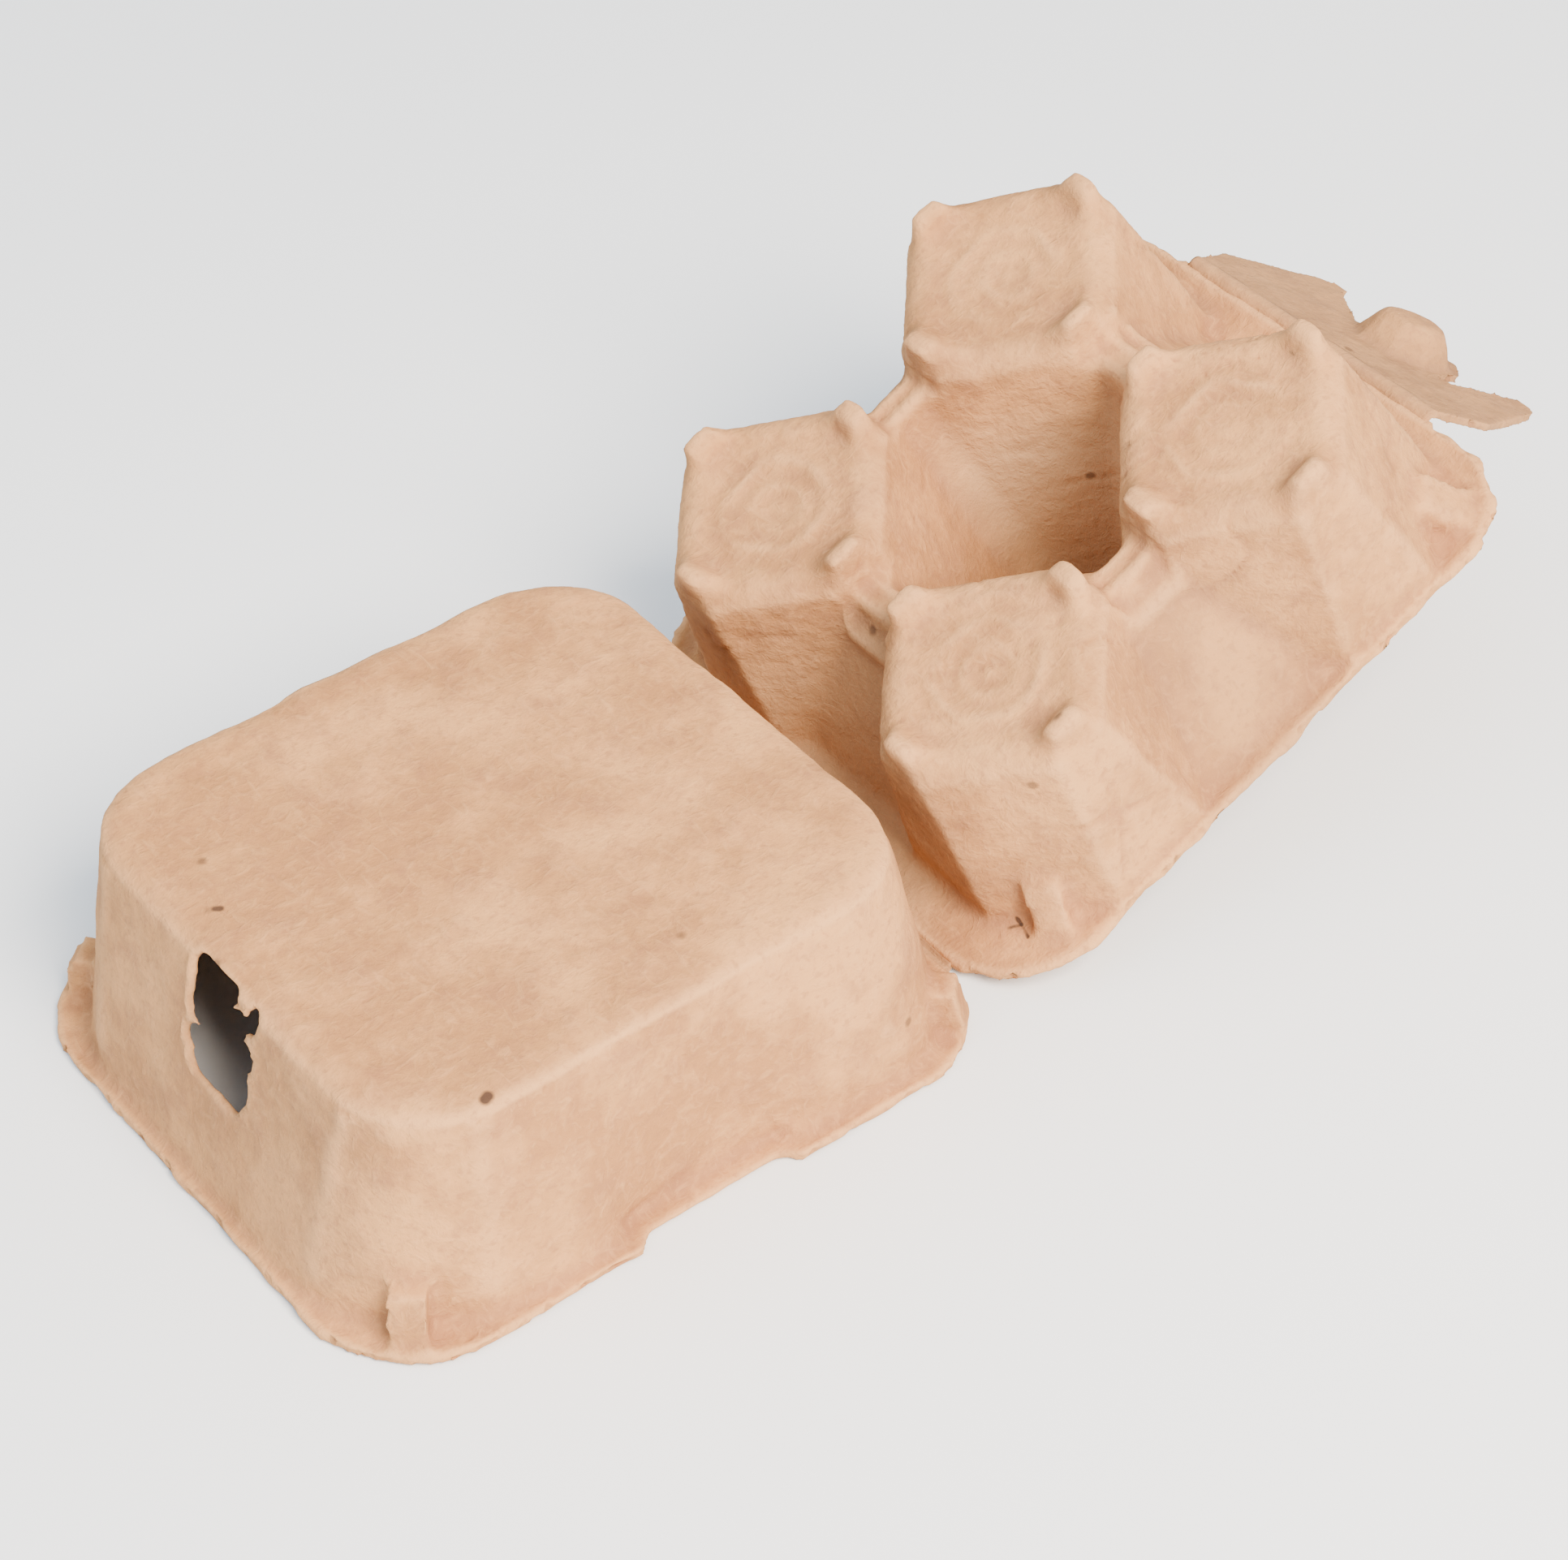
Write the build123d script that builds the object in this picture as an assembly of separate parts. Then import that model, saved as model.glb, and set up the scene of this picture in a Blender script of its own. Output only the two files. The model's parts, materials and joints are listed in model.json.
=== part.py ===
from build123d import *
import math
import os

# A moulded-pulp carton for four eggs, lying open with its outside upwards. The lid stands on
# its rim, and the cup tray leans back from the fold until the tip of its middle post touches
# the table. Millimetres. +X runs from the lid to the tray, +Y along the fold, +Z up. The
# origin is the middle of the footprint, on the table. Each half is drawn flat first: X away
# from the fold, Z outwards from the inner face of its rim.

# Pulp and the fold between the halves
wall = 1.8
fold_gap = 0.3
fold_drop = 0.2
fold_bevel = 20.0

# Tray rim
pitch = 50.0
first_row = 33.2
tray_front_margin = 29.4
tray_side_margin = 25.5
tray_length = first_row + pitch + tray_front_margin
tray_half_width = pitch / 2 + tray_side_margin
tray_fold_radius = 20.0
tray_front_radius = 15.5

# Cups: eight-sided, with a face towards each neighbour and a face across each corner
cup_height = 37.5
cup_root_gap = 1.1
cup_lean = 4.4
cup_root_corner_share = 0.98
cup_end_corner_share = 0.86
cup_root_side = pitch / 2 - cup_root_gap
cup_end_side = cup_root_side - cup_lean
cup_root_corner = cup_root_side * cup_root_corner_share
cup_end_corner = cup_end_side * cup_end_corner_share
cup_crown = 2.2
foot_height = 2.2
foot_width = 8.0
foot_depth = 5.5
foot_taper = 0.8
dish_border = 3.4
dish_slope = 1.4
dish_depth = 0.8
dimple_radius = 6.0
dimple_depth = 0.5

# Bars between neighbouring cups, the valleys outside them and the pit and post inside them
bar_height = 30.2
bar_width = 5.4
bar_shift = 0.7
bar_groove_width = 1.6
bar_groove_depth = 0.7
bar_middle = pitch / 2 + bar_shift
valley_root = pitch / 2 + 21.5
valley_root_corner = pitch / math.sqrt(2) + 19.6
valley_top_corner = pitch / math.sqrt(2) + 0.6
pit_trim = 0.15
post_depth = 24.4
post_tip_side = 7.4

# Lid rim
lid_short = 0.4
lid_overlap = 0.5
lid_length = tray_length - lid_short
lid_half_width = tray_half_width + lid_overlap
lid_fold_radius = 18.0
lid_front_radius = 20.0

# Lid walls and top: the ledges of rim outside the wall, and how far each wall leans in
lid_height = 37.6
lid_ledge_fold = 2.3
lid_ledge_front = 1.8
lid_ledge_side = 2.8
lid_lean_fold = 7.8
lid_lean_front = 9.1
lid_lean_side = 4.0
lid_root_fold_radius = 19.0
lid_root_front_radius = 26.0
lid_top_radius = 17.0
lid_crown = 3.4
lid_crown_steps = 3
waist_middle = 54.0
waist_length = 27.0
waist_depth = 3.6
waist_run = 5.0
waist_top_cut = 0.2

# Latch: a hole in the lid's front wall for the button on the tray's lock flap
hole_offset = -1.7
hole_top_gap = 1.4
hole_length = 18.0
hole_shoulder = 4.0
hole_width = 15.8
hole_low_width = 10.6

# Lock flap, hanging from the front of the tray's rim
flap_hang = 55.0
flap_gap = 0.5
flap_root_half_width = 27.0
flap_half_width = 30.5
flap_flare_length = 10.0
flap_length = 31.5
flap_tip_half_width = 24.0
flap_corner_radius = 3.5
flap_ear_width = 5.0
flap_dip_length = 18.0
flap_dip_run = 4.0
tongue_offset = -3.0
tongue_width = 19.0
tongue_length = 29.0
tongue_corner = 4.5
button_middle = 19.8
button_length = 17.2
button_width = 17.0
button_height = 5.5
button_taper = 0.6
button_corner = 5.0

# Lugs in the corners between wall and rim
lug_width = 6.0
lug_height = 10.0
lug_reach = 4.2
lug_top_reach = 1.2
lug_root = 4.0
lid_lug_reach = 4.4
lid_lug_top_reach = 1.8
lid_lug_turn = 50.0

OVERRUN = 1.0
DIAGONAL = 45


def octagon(side, corner):
    """Ring of eight points: four faces square to the axes and four across the corners."""
    reach = corner * math.sqrt(2) - side
    ring = []
    for turn in range(4):
        cos, sin = math.cos(math.radians(90 * turn)), math.sin(math.radians(90 * turn))
        for x, y in ((side, -reach), (side, reach)):
            ring.append((x * cos - y * sin, x * sin + y * cos))
    return ring


def prismoid(low_ring, low, high_ring, high):
    """Solid with straight faces from a ring of points at one height to a ring at another."""
    low_face = Plane.XY.offset(low) * Polygon(*low_ring, align=None)
    high_face = Plane.XY.offset(high) * Polygon(*high_ring, align=None)
    return loft([low_face.face(), high_face.face()], ruled=True)


def sideways(inset, gradient):
    """How far a leaning face moves level when it is set in by a distance square to itself."""
    return inset * math.hypot(1, gradient)


def rim_face(fold_end, front_end, half_width, fold_radius, front_radius):
    """Level outline with its own corner radius at the fold and at the front."""
    face = Polygon((fold_end, -half_width), (front_end, -half_width), (front_end, half_width),
                   (fold_end, half_width), align=None)
    face = fillet(face.vertices().sort_by(Axis.X)[:2], fold_radius)
    return fillet(face.vertices().sort_by(Axis.X)[-2:], front_radius)


def fold_cut(length):
    """Wedge that bevels a rim's edge at the fold, so the halves can lean back past level."""
    lean = math.tan(math.radians(fold_bevel))
    wedge = Polygon((fold_gap - OVERRUN * lean, -OVERRUN), (fold_gap + 2 * wall * lean, 2 * wall),
                    (-2 * wall, 2 * wall), (-2 * wall, -OVERRUN), align=None)
    return extrude(Plane.XZ * wedge, length, both=True)


# Cup tray

cup_floor = cup_height - foot_height
cup_side_gradient = (cup_root_side - cup_end_side) / cup_floor
cup_corner_gradient = (cup_root_corner - cup_end_corner) / cup_floor
post_middle = first_row + pitch / 2
cup_places = [(post_middle + row * pitch / 2, side * pitch / 2) for row in (-1, 1) for side in (-1, 1)]


def cup_ring(height, inset):
    side = cup_root_side - cup_side_gradient * height - sideways(inset, cup_side_gradient)
    corner = cup_root_corner - cup_corner_gradient * height - sideways(inset, cup_corner_gradient)
    return octagon(side, corner)


def cup(inset):
    """One cup from below the rim to its bevelled end, with four feet, set in by a distance."""
    low, high = -inset, cup_floor - inset
    bevel = cup_crown - inset * (2 - math.sqrt(2))
    body = prismoid(cup_ring(low, inset), low, cup_ring(high - bevel, inset), high - bevel)
    body += prismoid(cup_ring(high - bevel, inset), high - bevel, cup_ring(high, inset + bevel), high)
    foot_middle = cup_end_side - foot_depth / 2
    depth, width = foot_depth / 2 - inset, foot_width / 2 - inset
    low_ring = [(depth, -width), (depth, width), (-depth, width), (-depth, -width)]
    high_ring = [(x * foot_taper, y * foot_taper) for x, y in low_ring]
    foot = prismoid(low_ring, high - bevel, high_ring, cup_height - inset)
    for turn in range(4):
        body += Rot(0, 0, 90 * turn) * Pos(foot_middle, 0, 0) * foot
    return body


def dish(inset):
    """Shallow hollow in a cup's end, with sloping sides, as far in as the wall's other face."""
    end, bottom = cup_floor - inset, cup_floor - inset - dish_depth
    border = dish_border + inset / 2
    return prismoid(cup_ring(end, border + dish_slope), bottom, cup_ring(end, border), end + OVERRUN)


def bridge(inset):
    """Block between the cups: its top becomes the four bars, its slopes the valley floors."""
    bar_edge = bar_middle + bar_width / 2
    side_gradient = (valley_root - bar_edge) / bar_height
    corner_gradient = (valley_root_corner - valley_top_corner) / bar_height
    rings = []
    low, high = -inset, bar_height - inset
    for height in (low, high):
        side = valley_root - side_gradient * height - sideways(inset, side_gradient)
        corner = valley_root_corner - corner_gradient * height - sideways(inset, corner_gradient)
        rings.append(octagon(side, corner))
    return prismoid(rings[0], low, rings[1], high)


def pit_side_gradient():
    return (bar_middle - bar_width / 2 - post_tip_side) / (bar_height + post_depth - wall)


def pit(outset, low, high):
    """Tapered pit between the four cups, in line with their inner faces down to the post's tip."""
    bar_edge = bar_middle - bar_width / 2
    side_gradient = pit_side_gradient()
    rings = []
    for height in (low, high):
        side = bar_edge + side_gradient * (height - bar_height) + sideways(outset, side_gradient)
        cup_corner = cup_root_corner - cup_corner_gradient * height
        corner = pitch / math.sqrt(2) - cup_corner + pit_trim + sideways(outset, cup_corner_gradient)
        rings.append(octagon(side, corner))
    return prismoid(rings[0], low, rings[1], high)


def tray_lug():
    """Gusset on a cup's outer corner face, standing on the rim."""
    top_face = cup_root_corner - cup_corner_gradient * lug_height
    inner = top_face - lug_root
    half = lug_width / 2
    low_ring = [(inner, -half), (cup_root_corner + lug_reach, -half),
                (cup_root_corner + lug_reach, half), (inner, half)]
    high_ring = [(inner, -half), (top_face + lug_top_reach, -half),
                 (top_face + lug_top_reach, half), (inner, half)]
    return prismoid(low_ring, wall / 2, high_ring, lug_height)


def make_tray():
    """The tray lying flat: rim, four cups, bars, valleys and the middle post in one wall."""
    rim = extrude(rim_face(fold_gap, tray_length, tray_half_width, tray_fold_radius,
                           tray_front_radius), wall)
    outside = Pos(post_middle, 0, 0) * bridge(0) + rim
    inside = Pos(post_middle, 0, 0) * bridge(wall)
    outer_cup, inner_cup = cup(0), cup(wall) - dish(wall)
    for x, y in cup_places:
        outside += Pos(x, y, 0) * outer_cup
        inside += Pos(x, y, 0) * inner_cup
        facing = math.degrees(math.atan2(y, x - post_middle))
        outside += Pos(x, y, 0) * Rot(0, 0, facing) * tray_lug()
    tray = outside - inside
    tray += Pos(post_middle, 0, 0) * pit(wall, -post_depth, bar_height - wall / 2)
    tray -= Pos(post_middle, 0, 0) * pit(0, wall - post_depth, cup_height + OVERRUN)
    dimple = Pos(0, 0, cup_floor - dish_depth - dimple_depth) * Cylinder(
        dimple_radius, dish_depth + dimple_depth, align=(Align.CENTER, Align.CENTER, Align.MIN))
    for x, y in cup_places:
        tray -= Pos(x, y, 0) * (dish(0) + dimple)
    bar_length = pitch - 2 * (cup_root_side - cup_side_gradient * bar_height)
    groove = Box(bar_groove_width, bar_length, 2 * bar_groove_depth)
    for turn in range(4):
        tray -= (Pos(post_middle, 0, bar_height) * Rot(0, 0, 90 * turn)
                 * Pos(bar_middle, 0, 0) * groove)
    return tray - fold_cut(tray_half_width)


# Lid

lid_root_fold = fold_gap + lid_ledge_fold
lid_root_front = lid_length - lid_ledge_front
lid_root_half_width = lid_half_width - lid_ledge_side
lid_top_half_width = lid_root_half_width - lid_lean_side


def lid_ring(height, inset, drawn_in):
    """Level outline of the lid's wall at a height, set in and then drawn in by the crown."""
    share = height / lid_height
    fold_in = sideways(inset, lid_lean_fold / lid_height) + drawn_in
    front_in = sideways(inset, lid_lean_front / lid_height) + drawn_in
    side_in = sideways(inset, lid_lean_side / lid_height) + drawn_in
    fold_radius = lid_root_fold_radius + (lid_top_radius - lid_root_fold_radius) * share
    front_radius = lid_root_front_radius + (lid_top_radius - lid_root_front_radius) * share
    face = rim_face(lid_root_fold + lid_lean_fold * share + fold_in,
                    lid_root_front - lid_lean_front * share - front_in,
                    lid_root_half_width - lid_lean_side * share - side_in,
                    fold_radius - inset - drawn_in, front_radius - inset - drawn_in)
    return (Plane.XY.offset(height) * face).face()


def lid_body(inset):
    """Tapered box with round upright corners and a stepped crown, set in by a distance."""
    crown = lid_crown - inset
    rings = [lid_ring(-inset, inset, 0)]
    for step in range(lid_crown_steps + 1):
        angle = math.radians(90 * step / lid_crown_steps)
        height = lid_height - inset - crown + crown * math.sin(angle)
        rings.append(lid_ring(height, inset, crown * (1 - math.cos(angle))))
    body = loft(rings, ruled=True)
    for side in (-1, 1):
        body -= waist(inset, side)
    return body


def waist(inset, side):
    """Shallow hollow in the middle of a long wall, deepest at the rim."""
    root = side * (lid_root_half_width - waist_depth - inset)
    top = side * (lid_top_half_width - waist_top_cut - inset)
    outer = side * (lid_half_width + OVERRUN)
    half = waist_length / 2 + inset
    rings = []
    for level, face in ((-wall, root), (lid_height, top)):
        rings.append([(waist_middle - half, face), (waist_middle + half, face),
                      (waist_middle + half + waist_run, outer), (waist_middle - half - waist_run, outer)])
    return prismoid(rings[0], -wall, rings[1], lid_height)


def lid_lug(x, y, facing):
    """Gusset in a corner of the lid, from the round corner's wall to the rim."""
    half = lug_width / 2
    low_ring = [(-lug_root, -half), (lid_lug_reach, -half), (lid_lug_reach, half), (-lug_root, half)]
    high_ring = [(-lug_root, -half), (lid_lug_top_reach, -half), (lid_lug_top_reach, half),
                 (-lug_root, half)]
    return Pos(x, y, 0) * Rot(0, 0, facing) * prismoid(low_ring, wall / 2, high_ring, lug_height)


def latch_hole():
    """Shield-shaped hole through the front wall, up to the lid's top edge."""
    half, low_half = hole_width / 2, hole_low_width / 2
    high = lid_height - hole_top_gap
    low = high - hole_length
    shield = Polygon((-low_half, low), (low_half, low), (half, low + hole_shoulder),
                     (half, high), (-half, high), (-half, low + hole_shoulder), align=None)
    start = lid_root_front - lid_lean_front - 2 * lid_crown
    across = Plane((start, -hole_offset, 0), x_dir=(0, 1, 0), z_dir=(1, 0, 0))
    return extrude(across * shield, lid_length - start)


def make_lid():
    """The lid lying flat on its rim, with its front towards +X."""
    rim = extrude(rim_face(fold_gap, lid_length, lid_half_width, lid_fold_radius,
                           lid_front_radius), wall)
    waist_rim = waist_depth - wall
    for side in (-1, 1):
        rim -= Pos(0, side * waist_rim, 0) * waist(-wall, side)
    outside = rim + lid_body(0)
    corner = math.cos(math.radians(DIAGONAL))
    front_cos, front_sin = math.cos(math.radians(lid_lug_turn)), math.sin(math.radians(lid_lug_turn))
    for side in (-1, 1):
        front_x = lid_root_front - lid_root_front_radius * (1 - front_cos)
        front_y = lid_root_half_width - lid_root_front_radius * (1 - front_sin)
        fold_x = lid_root_fold + lid_root_fold_radius * (1 - corner)
        fold_y = lid_root_half_width - lid_root_fold_radius * (1 - corner)
        outside += lid_lug(front_x, side * front_y, side * lid_lug_turn)
        outside += lid_lug(fold_x, side * fold_y, side * (180 - DIAGONAL))
    lid = outside - lid_body(wall) - latch_hole()
    return lid - fold_cut(lid_half_width)


# Lock flap

def button(inset):
    """Button that stands out from the flap's outer face, tapered all round and hollow behind."""
    half_length, half_width = button_length / 2 - inset, button_width / 2 - inset
    cut = button_corner - inset * (2 - math.sqrt(2))
    low_ring = [(half_length, -half_width + cut), (half_length, half_width - cut),
                (half_length - cut, half_width), (-half_length + cut, half_width),
                (-half_length, half_width - cut), (-half_length, -half_width + cut),
                (-half_length + cut, -half_width), (half_length - cut, -half_width)]
    high_ring = [(x * button_taper, y * button_taper) for x, y in low_ring]
    return prismoid(low_ring, wall / 2 - inset, high_ring, wall + button_height - inset)


def make_flap():
    """The flap lying level, its crease along the Y axis: two ears, and a tongue with the button."""
    tongue_low, tongue_high = tongue_offset - tongue_width / 2, tongue_offset + tongue_width / 2
    ear_inner = flap_tip_half_width - flap_ear_width
    half_outline = [(flap_gap / 2, flap_root_half_width), (flap_flare_length, flap_half_width),
                    (flap_length, flap_tip_half_width), (flap_length, ear_inner),
                    (flap_dip_length, ear_inner - flap_dip_run)]
    tongue_outline = [(flap_dip_length, tongue_low), (tongue_length - tongue_corner, tongue_low),
                      (tongue_length, tongue_low + tongue_corner),
                      (tongue_length, tongue_high - tongue_corner),
                      (tongue_length - tongue_corner, tongue_high), (flap_dip_length, tongue_high)]
    outline = Polygon(*[(x, -y) for x, y in half_outline], *tongue_outline,
                      *reversed(half_outline), align=None)
    front = outline.vertices().sort_by(Axis.X)
    ears = front[-4:].sort_by(Axis.Y)
    outline = fillet([ears[0], ears[-1]], flap_corner_radius)
    at_button = Pos(button_middle, tongue_offset, 0)
    return extrude(outline, wall) + at_button * button(0) - at_button * button(wall)


# The open carton at rest

def rest_lean():
    """Angle at which the tray leans back until the near edge of its post's tip is on the table."""
    side_gradient = pit_side_gradient()
    tip_side = post_tip_side - side_gradient * wall + sideways(wall, side_gradient)
    tip_reach = post_middle - tip_side
    tip_drop = post_depth - fold_drop
    reach = math.hypot(tip_reach, tip_drop)
    return math.degrees(math.atan2(tip_drop, tip_reach) + math.asin(fold_drop / reach))


lean = rest_lean()
leaned_back = Pos(0, 0, -fold_drop) * Rot(0, -lean, 0) * Pos(0, 0, fold_drop)
crease = leaned_back * Pos(tray_length + flap_gap / 2, 0, 0)
nodes = {
    "tray": leaned_back * make_tray(),
    "lid": Rot(0, 0, 180) * make_lid(),
    "lock_flap": crease * Rot(0, flap_hang, 0) * make_flap(),
}
footprint = Compound(list(nodes.values())).bounding_box()
to_origin = Pos(-footprint.center().X, -footprint.center().Y, 0)

os.makedirs("parts", exist_ok=True)
for name, solid in nodes.items():
    export_step(to_origin * solid, f"parts/{name}.step")

fold_line = to_origin * Pos(0, 0, -fold_drop)
print("lean", round(lean, 3), "fold line", tuple(fold_line.position),
      "flap crease", tuple((to_origin * crease).position))
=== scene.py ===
"""Finishes a moulded-pulp egg carton: soft pulp shells, the creases between them, and their material.

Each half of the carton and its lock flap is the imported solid's own form, remeshed finely, softened as wet
pulp is when it is pressed, and roughened by fibres. Thin creases join them where the pulp folds.
"""

import json
import logging
import math
from dataclasses import dataclass, field
from typing import Any, Optional

import bmesh
import bpy
import numpy as np
from mathutils import Matrix, Vector

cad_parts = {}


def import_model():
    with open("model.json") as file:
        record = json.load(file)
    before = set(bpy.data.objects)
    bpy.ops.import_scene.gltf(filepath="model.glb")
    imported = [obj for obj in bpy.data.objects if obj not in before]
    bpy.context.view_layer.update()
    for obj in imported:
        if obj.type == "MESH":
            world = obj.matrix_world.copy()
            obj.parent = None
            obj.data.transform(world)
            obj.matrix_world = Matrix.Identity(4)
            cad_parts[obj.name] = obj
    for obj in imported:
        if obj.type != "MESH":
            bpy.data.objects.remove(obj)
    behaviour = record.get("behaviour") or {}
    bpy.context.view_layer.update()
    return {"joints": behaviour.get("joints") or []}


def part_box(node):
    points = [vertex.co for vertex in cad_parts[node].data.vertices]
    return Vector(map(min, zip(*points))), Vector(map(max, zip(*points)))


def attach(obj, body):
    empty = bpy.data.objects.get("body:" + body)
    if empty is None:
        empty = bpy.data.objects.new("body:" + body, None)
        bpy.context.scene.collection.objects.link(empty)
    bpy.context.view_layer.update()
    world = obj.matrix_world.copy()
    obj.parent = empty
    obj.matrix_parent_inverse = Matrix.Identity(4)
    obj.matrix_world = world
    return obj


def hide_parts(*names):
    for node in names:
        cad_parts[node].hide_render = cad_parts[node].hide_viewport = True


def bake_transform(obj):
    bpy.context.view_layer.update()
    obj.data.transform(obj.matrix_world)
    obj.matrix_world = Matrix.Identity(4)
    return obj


log = logging.getLogger("egg_carton")

MM = 0.001

Array = np.ndarray
Shape = bmesh.types.BMesh
Mesh = bpy.types.Mesh
Object = bpy.types.Object
Material = bpy.types.Material
Socket = bpy.types.NodeSocket
Colour = tuple[float, float, float, float]


@dataclass(frozen=True)
class Frame:
    """A half's own frame: where its drawn origin lies in the row frame, and how it leans."""

    origin: Vector
    along: Vector
    outward: Vector

    @property
    def across(self) -> Vector:
        """Direction along the fold."""
        return Vector((0.0, 1.0, 0.0))

    def local(self, points: Array) -> Array:
        """Points as distance from the fold, distance along it, and height above the rim's inner face.

        Args:
            points: Points in the row frame, one to a row.

        Returns:
            The same points in the half's own frame.
        """
        return (points - np.array(self.origin, float)) @ self.rows().T

    def rows(self) -> Array:
        """The frame's three directions, one to a row."""
        return np.array([self.along, self.across, self.outward], float)

    def spot(self, along: float, across: float, height: float) -> Vector:
        """A place given in the frame's own millimetres."""
        return self.origin + (self.along * along + self.across * across + self.outward * height) * MM


@dataclass(frozen=True)
class Mark:
    """A dark mark in the pulp: a speck of old paper, or part of a crack."""

    start: Vector
    end: Vector
    radius: float
    depth: float = 0.8


class Graph:
    """A node tree under way: adds nodes, and sets or links their inputs."""

    def __init__(self, tree: bpy.types.NodeTree) -> None:
        """Takes the tree that it adds to."""
        self.tree = tree

    def add(self, kind: str, inputs: Optional[dict] = None, **settings: Any) -> bpy.types.Node:
        """Adds a node.

        Args:
            kind: The node's type.
            inputs: What goes into its inputs, by name or number: a socket is linked, a value is set.
            settings: The node's own settings, made before its inputs are looked up.

        Returns:
            The node.
        """
        node = self.tree.nodes.new(kind)
        for name, value in settings.items():
            setattr(node, name, value)
        self.feed(node, inputs or {})
        return node

    def feed(self, node: bpy.types.Node, inputs: dict) -> None:
        """Links or sets a node's inputs, as add does."""
        for key, value in inputs.items():
            if isinstance(value, bpy.types.NodeSocket):
                self.tree.links.new(value, node.inputs[key])
            else:
                node.inputs[key].default_value = value

    def scalar(self, operation: str, first: Socket, second: Any) -> Socket:
        """What a math node makes of two numbers."""
        return self.add("ShaderNodeMath", {0: first, 1: second}, operation=operation).outputs["Value"]

    def part(self, value: Socket, start: float, end: float, most: float = 1.0) -> Socket:
        """A value mapped to zero at a start and to a most at an end."""
        return self.add("ShaderNodeMapRange", {"Value": value, "From Min": start, "From Max": end,
                                               "To Max": most}).outputs["Result"]

    def noise(self, place: Socket, scale: float, detail: float, rough: float, warp: float = 0.0) -> Socket:
        """A noise over a place, with its octaves, the strength of the finer ones and its warp."""
        return self.add("ShaderNodeTexNoise", {"Vector": place, "Scale": scale, "Detail": detail,
                                               "Roughness": rough, "Distortion": warp}).outputs["Fac"]

    def attribute(self, name: str) -> Socket:
        """A value stored on the mesh."""
        return self.add("ShaderNodeAttribute", attribute_name=name).outputs["Fac"]

    def blend(self, share: Any, under: Any, over: Any) -> Socket:
        """One colour laid over another, by a share."""
        return self.add("ShaderNodeMix", {"Factor": share, "A": under, "B": over},
                        data_type="RGBA").outputs["Result"]


@dataclass(frozen=True)
class Layer:
    """How a noise lays a colour over the pulp: the noise where it starts and is full, and its most."""

    start: float
    full: float
    most: float


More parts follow.
